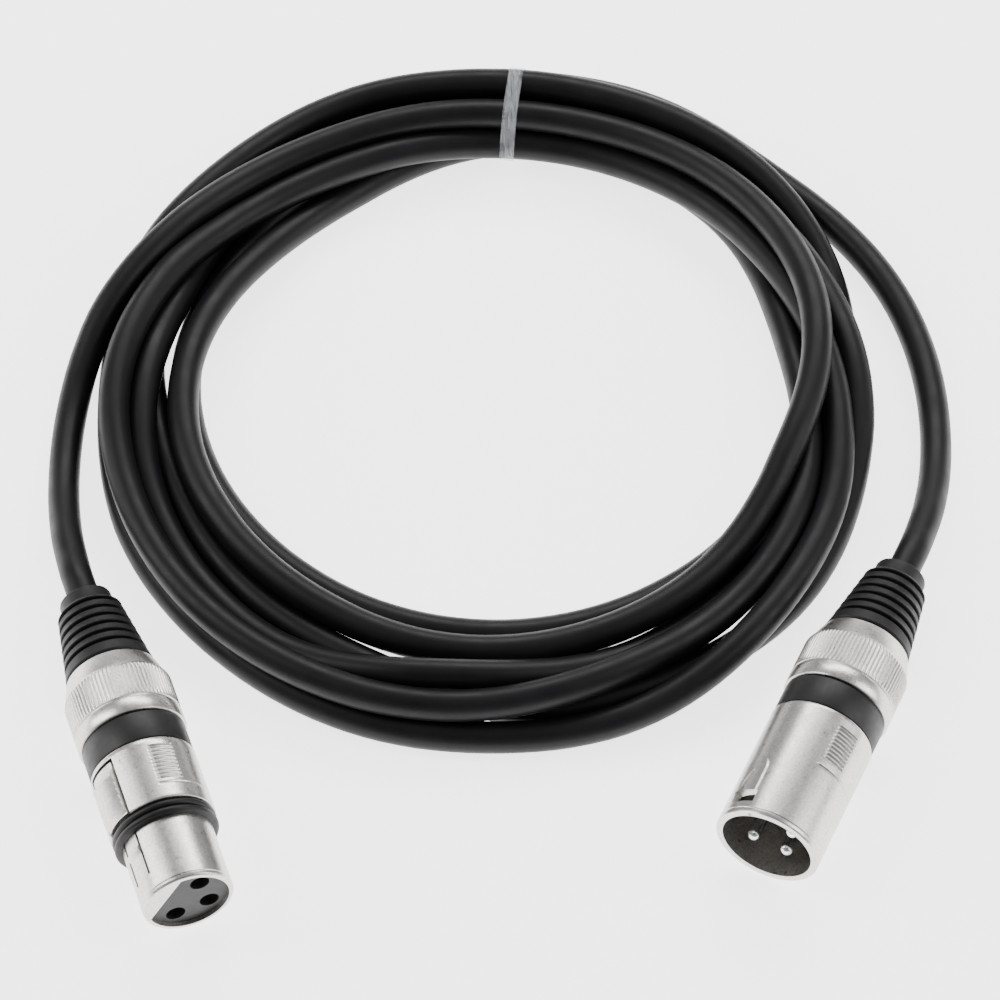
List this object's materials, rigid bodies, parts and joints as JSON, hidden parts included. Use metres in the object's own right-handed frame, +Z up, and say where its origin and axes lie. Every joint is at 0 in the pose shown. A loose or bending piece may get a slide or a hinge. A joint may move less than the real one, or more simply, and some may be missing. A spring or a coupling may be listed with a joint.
{
  "type": "microphone cable coil",
  "caption": "Balanced microphone cable wound into a coil and tied, with a latching female and a male three-pole connector on its ends.",
  "frame": {"origin": "on the table, under the middle of the object's bounding box", "axes": "+Z up from the table the cable lies on; -Y is the way the two connectors point; +X runs from the female connector to the male one"},
  "size_m": [0.1659, 0.1925, 0.0196],
  "materials": {
    "cable_jacket": "black flexible PVC, satin with a soft sheen",
    "tie_strap": "clear, slightly milky nylon",
    "shell_metal": "die-cast metal with satin nickel plating",
    "insert_plastic": "black moulded plastic",
    "contact_metal": "bright silver plating",
    "latch_metal": "satin nickel plating",
    "seal_rubber": "black rubber",
    "ring_plastic": "black plastic with a fine grain",
    "boot_rubber": "black moulded rubber",
    "chuck_plastic": "natural white plastic",
    "spring_steel": "spring steel strip",
    "core_red": "red wire insulation",
    "core_white": "white wire insulation",
    "shield_copper": "bare stranded copper, bronze in tone"
  },
  "bodies": {
    "root": {"cable_coil": "cable_jacket", "cable_tail_female": "cable_jacket", "cable_tail_male": "cable_jacket", "cable_tie": "tie_strap", "female_shell": "shell_metal", "female_insert": "insert_plastic", "female_contact_1": "contact_metal", "female_contact_2": "contact_metal", "female_contact_3": "contact_metal", "female_latch_pin": "contact_metal", "female_seal_ring": "seal_rubber", "female_coding_ring": "ring_plastic", "female_chuck": "chuck_plastic", "female_ground_spring": "spring_steel", "female_red_core": "core_red", "female_white_core": "core_white", "female_shield_wire": "shield_copper", "male_shell": "shell_metal", "male_insert": "insert_plastic", "male_pin_1": "contact_metal", "male_pin_2": "contact_metal", "male_pin_3": "contact_metal", "male_coding_ring": "ring_plastic", "male_chuck": "chuck_plastic", "male_ground_spring": "spring_steel", "male_red_core": "core_red", "male_white_core": "core_white", "male_shield_wire": "shield_copper"},
    "female_latch": {"female_latch": "latch_metal", "female_latch_spring": "spring_steel"},
    "female_boot": {"female_boot": "boot_rubber"},
    "female_nut": {"female_nut": "shell_metal"},
    "male_boot": {"male_boot": "boot_rubber"},
    "male_nut": {"male_nut": "shell_metal"}
  },
  "joints": [
    {"name": "female_latch_press", "type": "hinge", "parent": "root", "child": "female_latch", "pos_m": [-0.06743, -0.07198, 0.01383], "axis": [0.5028, 0.1673, 0.848], "range_deg": [0, 4.5], "stiffness_Nm_per_rad": 0.4, "springref_deg": -1.15},
    {"name": "female_boot_slide", "type": "slide", "parent": "root", "child": "female_boot", "axis": [-0.3156, 0.9489, 0], "range_m": [0, 0.0062]},
    {"name": "female_nut_turn", "type": "hinge", "parent": "female_boot", "child": "female_nut", "pos_m": [-0.06642, -0.05457, 0.0098], "axis": [-0.3156, 0.9489, 0], "range_deg": [0, 1440]},
    {"name": "male_boot_slide", "type": "slide", "parent": "root", "child": "male_boot", "axis": [0.4131, 0.9107, 0], "range_m": [0, 0.0062]},
    {"name": "male_nut_turn", "type": "hinge", "parent": "male_boot", "child": "male_nut", "pos_m": [0.06189, -0.04806, 0.0098], "axis": [0.4131, 0.9107, 0], "range_deg": [0, 1440]}
  ],
  "couplings": [
    {"joint": "female_boot_slide", "follows": "female_nut_turn", "m_per_rad": 0.00023873},
    {"joint": "male_boot_slide", "follows": "male_nut_turn", "m_per_rad": 0.00023873}
  ]
}
